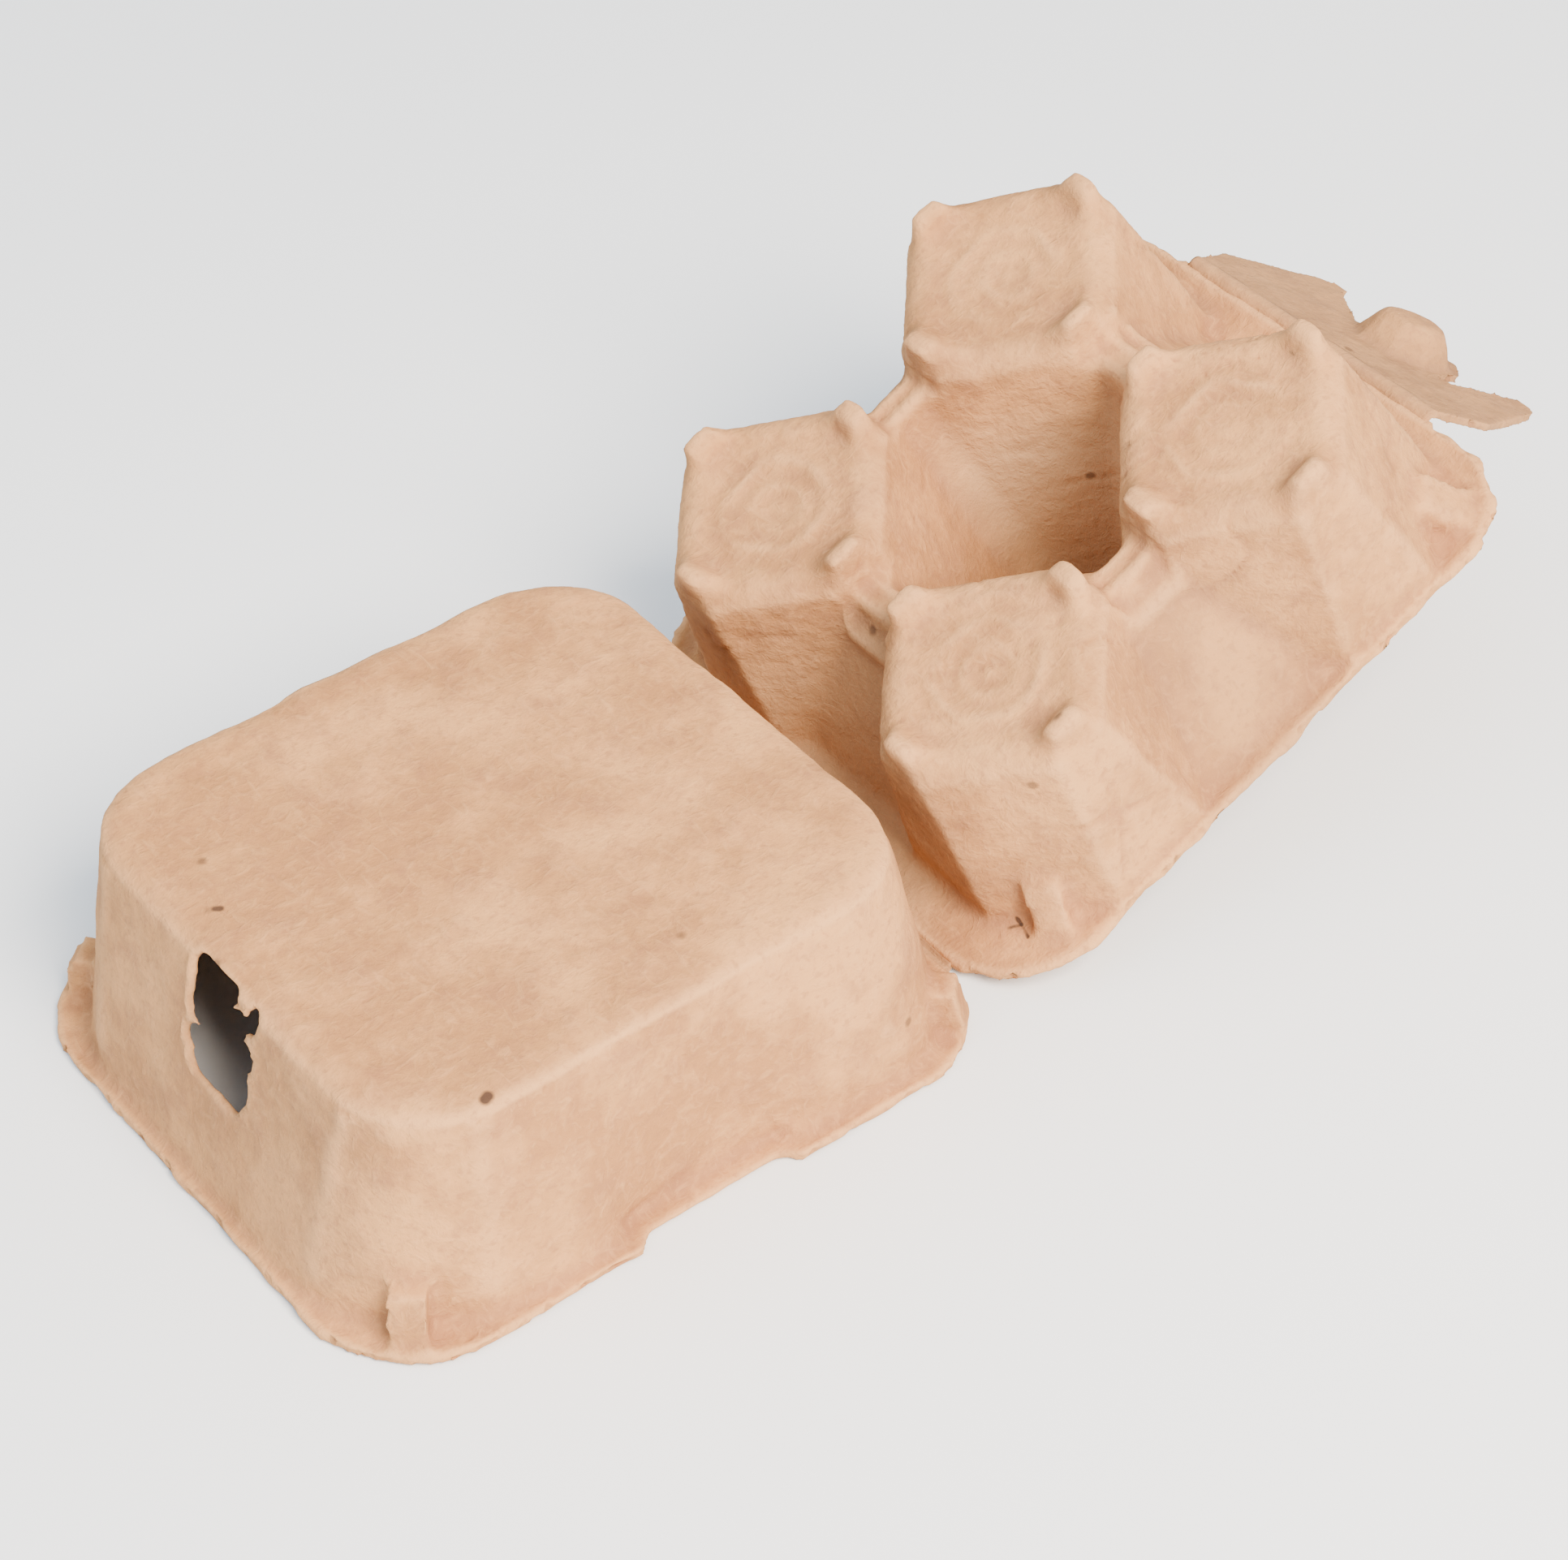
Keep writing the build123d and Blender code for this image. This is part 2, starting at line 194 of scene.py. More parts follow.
@dataclass(frozen=True)
class PulpFinish:
    """Colours and texture of dry moulded pulp in one place, with the tones that paint highlight, shade and
    pit light on it.
    """

    name: str = "moulded_pulp"
    body: Colour = (0.405, 0.196, 0.078, 1.0)
    warm: Colour = (0.580, 0.296, 0.120, 1.0)
    shade: Colour = (0.325, 0.152, 0.076, 1.0)
    # Pale tone of fibres and worn ridges, which on ridges also paints highlight.
    pale_and_highlight: Colour = (0.620, 0.336, 0.152, 1.0)
    # Paler, greyer brown that paints light into the pit and the pocket behind it, where shade falls.
    pit_light_tone: Colour = (0.560, 0.350, 0.185, 1.0)
    # Grey-brown that paints shade on walls turned from the light, in the side valleys and over the flap.
    painted_shade: Colour = (0.185, 0.126, 0.080, 1.0)
    speck: Colour = (0.060, 0.034, 0.024, 1.0)
    roughness: float = 0.92
    specular: float = 0.08
    blotch_scale: float = 42.0
    cloud_scale: float = 42.0 * 3.1
    fibre_scale: float = 560.0
    grain_scale: float = 900.0
    speck_scale: float = 230.0
    speck_share: float = 0.016
    blotch_edge: tuple[float, float] = (0.42, 0.58)
    dirt: Layer = Layer(0.50, 0.72, 0.62)
    strands: Layer = Layer(0.52, 0.74, 0.42)
    pores: Layer = Layer(0.54, 0.70, 0.38)
    specks: Layer = Layer(0.26, 0.14, 0.6)
    lump_strength: float = 0.8
    strand_strength: float = 0.7
    bump_distance: float = 0.00040

    def build(self, marks: list[Mark]) -> Material:
        """Makes the pulp's material.

        Args:
            marks: The dark marks that sit where they are seen.

        Returns:
            A material that reads Object coordinates and the piece's own attributes: worn ridges with painted
            highlight, painted shade, and painted light in pits.
        """
        material = bpy.data.materials.new(self.name)
        material.use_nodes = True
        graph = Graph(material.node_tree)
        place = graph.add("ShaderNodeTexCoord").outputs["Object"]
        blotches = graph.noise(place, self.blotch_scale, 4.0, 0.6)
        clouds = graph.noise(place, self.cloud_scale, 5.0, 0.65)
        grain = graph.noise(place, self.grain_scale, 2.0, 0.5)
        fibres = self._fibres(graph, place)
        tone = self._blotched(graph, blotches)
        for share, colour in (
            (self._layer(graph, clouds, self.dirt), self.shade),
            # Painted shade in hollows and creases.
            (graph.attribute("hollow_shade"), self.shade),
            # Worn ridges, with painted highlight.
            (graph.attribute("ridge_wear_and_highlight"), self.pale_and_highlight),
            (self._layer(graph, fibres, self.strands), self.pale_and_highlight),
            (self._layer(graph, grain, self.pores), self.shade),
            # Painted light in the pit.
            (graph.attribute("painted_pit_light"), self.pit_light_tone),
            # Painted shade on walls turned from the light, in the valleys and on the flap.
            (graph.attribute("painted_shade"), self.painted_shade),
            (self._specks(graph, place), self.speck),
            *((self._mark(graph, place, mark), self.speck) for mark in marks),
        ):
            tone = graph.blend(share, tone, colour)
        graph.feed(material.node_tree.nodes["Principled BSDF"], {
            "Base Color": tone, "Roughness": self.roughness, "Specular IOR Level": self.specular,
            "Normal": self._bumps(graph, fibres, clouds)})
        return material

    def _layer(self, graph: Graph, value: Socket, layer: Layer) -> Socket:
        """How much of a layer a noise lets through."""
        return graph.part(value, layer.start, layer.full, layer.most)

    def _blotched(self, graph: Graph, blotches: Socket) -> Socket:
        """The body colour and the warm one, in blotches.

        Args:
            graph: The material under way.
            blotches: The noise that parts them.

        Returns:
            A colour socket.
        """
        ramp = graph.add("ShaderNodeValToRGB", {"Fac": blotches})
        for stop, position, colour in zip(ramp.color_ramp.elements, self.blotch_edge, (self.body, self.warm)):
            stop.position = position
            stop.color = colour
        return ramp.outputs["Color"]

    def _fibres(self, graph: Graph, place: Socket) -> Socket:
        """Short strands lying every way: two stretched, turned and warped noises, the stronger of them.

        Args:
            graph: The material under way.
            place: Where each point is.

        Returns:
            A value socket, high on a strand.
        """
        strands = []
        for turn, stretch in ((0.5, (1.0, 0.42, 0.7)), (1.9, (0.45, 1.0, 0.6))):
            turned = graph.add("ShaderNodeMapping", {"Vector": place, "Scale": stretch,
                                                     "Rotation": (turn * 0.4, turn * 0.3, turn)})
            strands.append(graph.noise(turned.outputs["Vector"], self.fibre_scale, 3.0, 0.6, 1.2))
        return graph.scalar("MAXIMUM", *strands)

    def _specks(self, graph: Graph, place: Socket) -> Socket:
        """A few small dark bits of old paper in the pulp.

        Args:
            graph: The material under way.
            place: Where each point is.

        Returns:
            A value socket, high inside a speck.
        """
        cells = graph.add("ShaderNodeTexVoronoi", {"Vector": place, "Scale": self.speck_scale})
        chosen = graph.add("ShaderNodeSeparateColor", {"Color": cells.outputs["Color"]})
        rare = graph.scalar("LESS_THAN", chosen.outputs["Red"], self.speck_share)
        return graph.scalar("MULTIPLY", rare, self._layer(graph, cells.outputs["Distance"], self.specks))

    def _mark(self, graph: Graph, place: Socket, mark: Mark) -> Socket:
        """One dark mark at a place of its own, round or drawn out between two points.

        Args:
            graph: The material under way.
            place: Where each point is.
            mark: The mark.

        Returns:
            A value socket, at the mark's depth inside it.
        """
        run = mark.end - mark.start
        beyond = graph.add("ShaderNodeVectorMath", {0: place, 1: mark.start}, operation="SUBTRACT")
        beyond = beyond.outputs["Vector"]
        along = graph.add("ShaderNodeVectorMath", {0: beyond, 1: run}, operation="DOT_PRODUCT")
        share = graph.part(along.outputs["Value"], 0.0, run.length_squared)
        reach = graph.add("ShaderNodeVectorMath", {0: run, "Scale": share}, operation="SCALE")
        away = graph.add("ShaderNodeVectorMath", {0: beyond, 1: reach.outputs["Vector"]},
                         operation="DISTANCE")
        return graph.part(away.outputs["Value"], mark.radius, mark.radius * 0.55, mark.depth)

    def _bumps(self, graph: Graph, fibres: Socket, clouds: Socket) -> Socket:
        """Raises the strands and the lumps under them.

        Args:
            graph: The material under way.
            fibres: Height of the strands.
            clouds: Height of the lumps.

        Returns:
            The normal's socket.
        """
        lumps = graph.add("ShaderNodeBump", {"Strength": self.lump_strength, "Height": clouds,
                                             "Distance": self.bump_distance * 2})
        strands = graph.add("ShaderNodeBump", {"Strength": self.strand_strength, "Height": fibres,
                                               "Distance": self.bump_distance,
                                               "Normal": lumps.outputs["Normal"]})
        return strands.outputs["Normal"]


@dataclass
class Roughening:
    """A Geometry Nodes tree that moves a surface in and out as pressed pulp does."""

    name: str = "pulp_surface"
    lump_height: float = 0.46 * MM
    lump_scale: float = 105.0
    grain_height: float = 0.17 * MM
    grain_scale: float = 340.0
    seed: float = 4.0

    def build(self) -> bpy.types.NodeTree:
        """Makes the tree.

        Returns:
            The node tree, with named inputs for its heights, scales and seed.
        """
        tree = bpy.data.node_groups.new(self.name, "GeometryNodeTree")
        face = tree.interface
        face.new_socket("Geometry", in_out="INPUT", socket_type="NodeSocketGeometry")
        for label, value in (
            ("Lump Height", self.lump_height),
            ("Lump Scale", self.lump_scale),
            ("Grain Height", self.grain_height),
            ("Grain Scale", self.grain_scale),
            ("Seed", self.seed),
        ):
            socket = face.new_socket(label, in_out="INPUT", socket_type="NodeSocketFloat")
            socket.default_value = value
        face.new_socket("Material", in_out="INPUT", socket_type="NodeSocketMaterial")
        face.new_socket("Geometry", in_out="OUTPUT", socket_type="NodeSocketGeometry")
        graph = Graph(tree)
        given = graph.add("NodeGroupInput").outputs
        lumps = self._layer(graph, given, "Lump", 2.0)
        grain = self._layer(graph, given, "Grain", 3.0)
        normal = graph.add("GeometryNodeInputNormal").outputs["Normal"]
        shift = graph.add("ShaderNodeVectorMath", {0: normal, "Scale": graph.scalar("ADD", lumps, grain)},
                          operation="SCALE")
        move = graph.add("GeometryNodeSetPosition", {"Geometry": given["Geometry"],
                                                     "Offset": shift.outputs["Vector"]})
        real = graph.add("GeometryNodeRealizeInstances", {"Geometry": move.outputs["Geometry"]})
        dress = graph.add("GeometryNodeSetMaterial", {"Geometry": real.outputs["Geometry"],
                                                      "Material": given["Material"]})
        graph.add("NodeGroupOutput", {"Geometry": dress.outputs["Geometry"]})
        return tree

    def _layer(self, graph: Graph, given: Any, name: str, detail: float) -> Socket:
        """One layer of relief, inwards only, so that the piece keeps its size.

        Args:
            graph: The tree under way.
            given: The tree's inputs.
            name: What the inputs with the layer's scale and full depth start with.
            detail: Octaves.

        Returns:
            A value socket, from minus the depth to zero.
        """
        noise = graph.add("ShaderNodeTexNoise", {"Detail": detail, "Scale": given[f"{name} Scale"],
                                                 "W": given["Seed"]}, noise_dimensions="4D")
        inwards = graph.add("ShaderNodeMapRange", {"Value": noise.outputs["Fac"], "From Min": 0.25,
                                                   "From Max": 0.75, "To Min": -1.0, "To Max": 0.0})
        return graph.scalar("MULTIPLY", inwards.outputs["Result"], given[f"{name} Height"])

    def apply(self, piece: Object, tree: bpy.types.NodeTree, material: Material) -> None:
        """Runs the tree on a piece and keeps the result as its plain mesh.

        Args:
            piece: The object.
            tree: The tree that build made.
            material: The pulp.
        """
        modifier = piece.modifiers.new("roughening", "NODES")
        modifier.node_group = tree
        for item in tree.interface.items_tree:
            if item.item_type == "SOCKET" and item.in_out == "INPUT" and item.name == "Material":
                modifier[item.identifier] = material
        keep_evaluated(piece)


def keep_evaluated(piece: Object) -> None:
    """Replaces a piece's mesh by its evaluated one and removes its modifiers.

    Args:
        piece: The object.
    """
    bpy.context.view_layer.update()
    evaluated = piece.evaluated_get(bpy.context.evaluated_depsgraph_get())
    mesh = bpy.data.meshes.new_from_object(evaluated)
    piece.modifiers.clear()
    old = piece.data
    piece.data = mesh
    bpy.data.meshes.remove(old)


def smoothed_noise(points: Array, scale: float, seed: int) -> Array:
    """A cheap smooth noise: a few waves in seeded directions.

    Args:
        points: Points, one to a row, in metres.
        scale: Waves a metre.
        seed: Seed of the directions and phases.

    Returns:
        A value for each point, from about -1 to 1.
    """
    rng = np.random.default_rng(seed)
    total = np.zeros(len(points))
    waves = 9
    for _ in range(waves):
        direction = rng.normal(size=3)
        direction *= scale * rng.uniform(0.6, 1.7) / np.linalg.norm(direction)
        total += np.sin(2 * math.pi * (points @ direction) + rng.uniform(0, 2 * math.pi))
    return total / math.sqrt(waves)


def coordinates(mesh: Mesh) -> Array:
    """A mesh's points as an array."""
    flat = np.zeros(len(mesh.vertices) * 3, np.float32)
    mesh.vertices.foreach_get("co", flat)
    return flat.reshape(-1, 3).astype(float)


def store(mesh: Mesh, points: Array) -> None:
    """Writes an array of points back to a mesh."""
    mesh.vertices.foreach_set("co", points.astype(np.float32).ravel())
    mesh.update()


def point_normals(mesh: Mesh) -> Array:
    """A mesh's point normals as an array."""
    flat = np.zeros(len(mesh.vertices) * 3, np.float32)
    mesh.vertices.foreach_get("normal", flat)
    return flat.reshape(-1, 3).astype(float)


def write_attribute(mesh: Mesh, name: str, values: Array) -> None:
    """Stores one value a point on a mesh, for its material to read."""
    attribute = mesh.attributes.new(name, "FLOAT", "POINT")
    attribute.data.foreach_set("value", values.astype(np.float32))


@dataclass
class Net:
    """A mesh's edges, for averaging values over each point's neighbours."""

    first: Array
    second: Array
    neighbours: Array

    @classmethod
    def of(cls, mesh: Mesh) -> "Net":
        """The net of a mesh."""
        flat = np.zeros(len(mesh.edges) * 2, np.int32)
        mesh.edges.foreach_get("vertices", flat)
        edges = flat.reshape(-1, 2)
        count = np.bincount(edges.ravel(), minlength=len(mesh.vertices)).astype(float)
        return cls(edges[:, 0].copy(), edges[:, 1].copy(), np.maximum(count, 1.0))

    def average(self, values: Array) -> Array:
        """Mean of each point's neighbours.

        Args:
            values: One row or number a point.

        Returns:
            The averages, in the same shape.
        """
        table = values.reshape(len(values), -1)
        out = np.empty_like(table)
        size = len(table)
        for k in range(table.shape[1]):
            column = table[:, k]
            total = np.bincount(self.first, column[self.second], size)
            total += np.bincount(self.second, column[self.first], size)
            out[:, k] = total / self.neighbours
        return out.reshape(values.shape)

    def round_off(self, points: Array, passes: int, share: Optional[Array] = None) -> Array:
        """Rounds small forms off without shrinking large ones: each pass smooths, then swells.

        Args:
            points: The mesh's points.
            passes: How many pairs of steps.
            share: How much each point takes part, from 0 to 1.

        Returns:
            The moved points.
        """
        part = np.ones((len(points), 1)) if share is None else share[:, None]
        out = points.copy()
        for _ in range(passes):
            for step in (0.5, -0.525):
                out += part * step * (self.average(out) - out)
        return out


@dataclass(frozen=True)
class Rim:
    """Outline of a half's rim: a rectangle with its own corner radius at the fold and at the front."""

    length: float
    half_width: float
    fold_radius: float
    front_radius: float

    def inside(self, along: Array, across: Array) -> Array:
        """Distance of points inside the outline.

        Args:
            along: Distances from the fold.
            across: Distances from the middle.

        Returns:
            How far inside the outline each point lies; negative is outside.
        """
        middle = self.length / 2
        radius = np.where(along < middle, self.fold_radius, self.front_radius)
        over_x = np.abs(along - middle) - (middle - radius)
        over_y = np.abs(across) - (self.half_width - radius)
        corner = np.hypot(np.maximum(over_x, 0.0), np.maximum(over_y, 0.0))
        return radius - corner - np.minimum(np.maximum(over_x, over_y), 0.0)


@dataclass
class PulpShell:
    """One part of the moulding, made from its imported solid: fine mesh, soft edges, ragged rim.

    Each part overrides the methods that take points in its own frame and give one value or shift a point.
    """

    node: str
    body: str
    frame: Frame
    voxel: float = 0.89 * MM
    rounding: int = 7
    soft_passes: int = 9
    wrinkle_depth: float = 0.50 * MM
    wrinkle_waves: float = 62.0
    patch_waves: float = 24.0
    level_passes: int = 0
    rim_height: float = 1.6 * MM
    ragged_depth: float = 0.9 * MM
    ragged_waves: float = 110.0
    standout_passes: int = 7
    # Gain of the ridges' wear and painted highlight.
    ridge_highlight_gain: float = 1.9
    # Gain of the painted shade in hollows.
    hollow_shade_gain: float = 2.0
    # How much painted shade the walls facing back take, and the walls facing front as a part of it.
    painted_shade_share: float = 0.2
    front_shade: float = 0.7
    painted_mask_passes: int = 14
    seed: int = 3
    piece: Optional[Object] = field(default=None, init=False)

    def build(self, tree: bpy.types.NodeTree, relief: Roughening, pulp: Material) -> Object:
        """Makes the finished shell.

        Args:
            tree: The relief's node tree.
            relief: The relief.
            pulp: The material.

        Returns:
            The piece, riding on its body.
        """
        self.piece = self._merged_copy()
        self._remesh()
        self._soften()
        self._press()
        self._tear_edges()
        relief.apply(self.piece, tree, pulp)
        self._record_wear_and_shading()
        self._hold_inside()
        for polygon in self.piece.data.polygons:
            polygon.use_smooth = True
        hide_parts(self.node)
        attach(self.piece, self.body)
        log.info("%s: %d triangles", self.piece.name, 2 * len(self.piece.data.polygons))
        return self.piece

    def _merged_copy(self) -> Object:
        """Copies the node's loose triangles into a closed mesh of its own, with any torn tongues."""
        source = bpy.data.objects[self.node]
        mesh = source.data.copy()
        mesh.name = f"{self.node}_pulp"
        shape = bmesh.new()
        shape.from_mesh(mesh)
        bmesh.ops.remove_doubles(shape, verts=shape.verts, dist=0.002 * MM)
        self._add_to(shape)
        shape.to_mesh(mesh)
        shape.free()
        mesh.materials.clear()
        piece = bpy.data.objects.new(f"{self.node}_pulp", mesh)
        bpy.context.scene.collection.objects.link(piece)
        return piece

    def _add_to(self, shape: Shape) -> None:
        """Adds closed forms that the remesh fuses with the shell. Plain shells have none."""

    def _remesh(self) -> None:
        """Gives the shell an even, fine mesh."""
        remesh = self.piece.modifiers.new("even", "REMESH")
        remesh.mode = "VOXEL"
        remesh.voxel_size = self.voxel
        remesh.use_smooth_shade = True
        keep_evaluated(self.piece)

    def _soften(self) -> None:
        """Rounds the folds and corners, and leaves the thin rim nearly as it is."""
        mesh = self.piece.data
        net = Net.of(mesh)
        points = coordinates(mesh)
        local = self.frame.local(points)
        share = np.clip((local[:, 2] - 0.2 * MM) / self.rim_height, 0.12, 1.0)
        points = net.round_off(points, self.rounding, share)
        points += 0.5 * (net.average(points) - points)
        points += self._before_softening(local) @ self.frame.rows()
        points = net.round_off(points, self.level_passes, self._soft_share(local))
        soft = 0.5 * self._soft_share(local)[:, None]
        for _ in range(self.soft_passes):
            points += soft * (net.average(points) - points)
        store(mesh, points)

    def _before_softening(self, local: Array) -> Array:
        """Shifts, in the part's own frame, that are made before its knobs are softened."""
        return np.zeros_like(local)

    def _soft_share(self, local: Array) -> Array:
        """How much each point belongs to a soft knob or run-out, from 0 to 1."""
        return np.zeros(len(local))

    def _relief(self, local: Array, normals: Array) -> Array:
        """Height of the fine pressed-in forms at each point, with its normal in the part's own frame."""
        return np.zeros(len(local))

    def _press(self) -> None:
        """Presses in the fine forms and the wrinkles that wet pulp takes from its mould."""
        mesh = self.piece.data
        points = coordinates(mesh)
        normals = point_normals(mesh)
        rows = self.frame.rows()
        local = self.frame.local(points)
        height = self._relief(local, normals @ rows.T)
        crossing = np.abs(smoothed_noise(points, self.wrinkle_waves, self.seed + 40))
        folds = np.clip(1.0 - crossing / 0.16, 0.0, 1.0) ** 2
        patchy = np.clip(0.2 + 0.8 * smoothed_noise(points, self.patch_waves, self.seed + 41), 0.0, 1.0)
        away = rise(local[:, 2], 3 * MM, 4 * MM)
        # Height of the pressed forms, which the ridge mask paints paler as wear and painted highlight.
        write_attribute(mesh, "raised", np.clip(height / (0.5 * MM), 0.0, 1.0))
        height -= self.wrinkle_depth * folds * patchy * away
        store(mesh, points + normals * height[:, None])

    def _edge_share(self, local: Array) -> Array:
        """How much each point belongs to a torn edge, from 0 to 1."""
        return np.zeros(len(local))

    def _tear_edges(self) -> None:
        """Leaves the torn edges uneven, with small nicks, always inwards."""
        mesh = self.piece.data
        points = coordinates(mesh)
        share = self._edge_share(self.frame.local(points))
        uneven = 0.5 + 0.5 * smoothed_noise(points, self.ragged_waves, self.seed)
        nicks = np.maximum(smoothed_noise(points, self.ragged_waves * 3.2, self.seed + 1) - 0.7, 0.0)
        pull = share * self.ragged_depth * (np.clip(uneven, 0.0, 1.3) + 1.6 * nicks)
        normals = point_normals(mesh)
        outward = np.array(self.frame.outward)
        flat = normals - (normals @ outward)[:, None] * outward
        length = np.linalg.norm(flat, axis=1, keepdims=True)
        store(mesh, points - flat / np.maximum(length, 0.3) * pull[:, None])

    def _record_wear_and_shading(self) -> None:
        """Stores how far each point stands out of, or lies below, the surface around it, as worn ridges with
        painted highlight and as painted shade in hollows, and the masks of painted shade and painted pit
        light.
        """
        mesh = self.piece.data
        net = Net.of(mesh)
        points = coordinates(mesh)
        flat = points
        for _ in range(self.standout_passes):
            flat = net.average(flat)
        stands = ((points - flat) * point_normals(mesh)).sum(axis=1) / MM
        local = self.frame.local(points)
        raised = np.zeros(len(points), np.float32)
        mesh.attributes["raised"].data.foreach_get("value", raised)
        # Standing ridges and pressed forms paler: partly wear, partly painted highlight.
        write_attribute(mesh, "ridge_wear_and_highlight", np.clip(stands * self.ridge_highlight_gain - 0.05 + 0.55 * raised, 0.0, 0.8))
        normals = point_normals(mesh)
        painted_pit_light, painted_shade_share = self._painted_pit_light_share(local, normals), self._painted_shade_share(local, normals)
        for _ in range(self.painted_mask_passes):
            painted_pit_light, painted_shade_share = net.average(painted_pit_light), net.average(painted_shade_share)
        # Painted shade where the surface lies below its surroundings.
        hollow_shade = np.clip(-stands * self.hollow_shade_gain - 0.05, 0.0, 0.7)
        write_attribute(mesh, "hollow_shade", hollow_shade * (1.0 - 0.8 * painted_pit_light))
        # Painted light in the pit, a paler tone where shade falls.
        write_attribute(mesh, "painted_pit_light", painted_pit_light)
        # Painted shade, left out where painted pit light lies.
        write_attribute(mesh, "painted_shade", painted_shade_share * (1.0 - painted_pit_light))

    def _painted_pit_light_share(self, local: Array, normals: Array) -> Array:
        """How much painted light each point takes in a pit, a paler tone laid where shade would fall; its
        normal is in the row frame.
        """
        return np.zeros(len(local))

    def _painted_shade_share(self, local: Array, normals: Array) -> Array:
        """Painted shade on each point: on walls whose normal lies along the row frame's X, the sides that the
        light leaves darker.
        """
        back, front = rise(-normals[:, 0], 0.7, 0.2), rise(normals[:, 0], 0.6, 0.2)
        return self.painted_shade_share * np.maximum(back, self.front_shade * front)

    def _hold_inside(self) -> None:
        """Keeps every point inside the node's own box."""
        low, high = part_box(self.node)
        points = np.clip(coordinates(self.piece.data), np.array(low), np.array(high))
        store(self.piece.data, points)


def near(distance: Array, reach: float) -> Array:
    """One at distance zero or less, falling to zero at a reach."""
    return np.clip(1.0 - distance / reach, 0.0, 1.0)


def rise(values: Array, start: float, run: float) -> Array:
    """Zero up to a start, then rising to one over a run."""
    return np.clip((values - start) / run, 0.0, 1.0)


def fall(values: Array, end: float, run: float) -> Array:
    """One, then falling to zero over a run that ends at an end."""
    return np.clip((end - values) / run, 0.0, 1.0)


def line(distance: Array, width: float) -> Array:
    """A soft line: one at distance zero, falling to nothing over about twice the width."""
    return np.exp(-((distance / width) ** 2))


def add_prism(shape: Shape, low: list[Vector], high: list[Vector]) -> None:
    """Adds a closed prism between two rings of the same number of points.

    Args:
        shape: The mesh under way.
        low: One ring.
        high: The other, point for point.
    """
    lower = [shape.verts.new(spot) for spot in low]
    upper = [shape.verts.new(spot) for spot in high]
    faces = [shape.faces.new(list(reversed(lower))), shape.faces.new(upper)]
    for k, corner in enumerate(lower):
        after = (k + 1) % len(lower)
        faces.append(shape.faces.new((corner, lower[after], upper[after], upper[k])))
    bmesh.ops.recalc_face_normals(shape, faces=faces)


@dataclass(frozen=True)
class Lug:
    """A lug at a rim's corner: a prism in millimetres that stands out at an angle from its middle."""

    middle: tuple[float, float]
    turn: float
    back: float
    sides: tuple[float, float]
    rings: tuple[tuple[float, float], tuple[float, float]]

    def add_to(self, shape: Shape, frame: Frame) -> None:
        """Adds the lug to a mesh.

        Args:
            shape: The mesh under way.
            frame: The frame of the half that it stands on.
        """
        x, y = math.cos(self.turn), math.sin(self.turn)
        left, right = self.sides
        rings = []
        for height, reach in self.rings:
            corners = ((self.back, left), (reach, left), (reach, right), (self.back, right))
            rings.append([frame.spot(self.middle[0] + out * x - side * y,
                                     self.middle[1] + out * y + side * x, height) for out, side in corners])
        add_prism(shape, *rings)


def rim_lip(rim: Rim, local: Array, normals: Array, inset: float, width: float) -> Array:
    """A soft line on a rim's upper face, at an inset from its outline."""
    level = (local[:, 2] < 2.8 * MM) & (normals[:, 2] > 0.6)
    return level * line(rim.inside(local[:, 0], local[:, 1]) - inset, width)


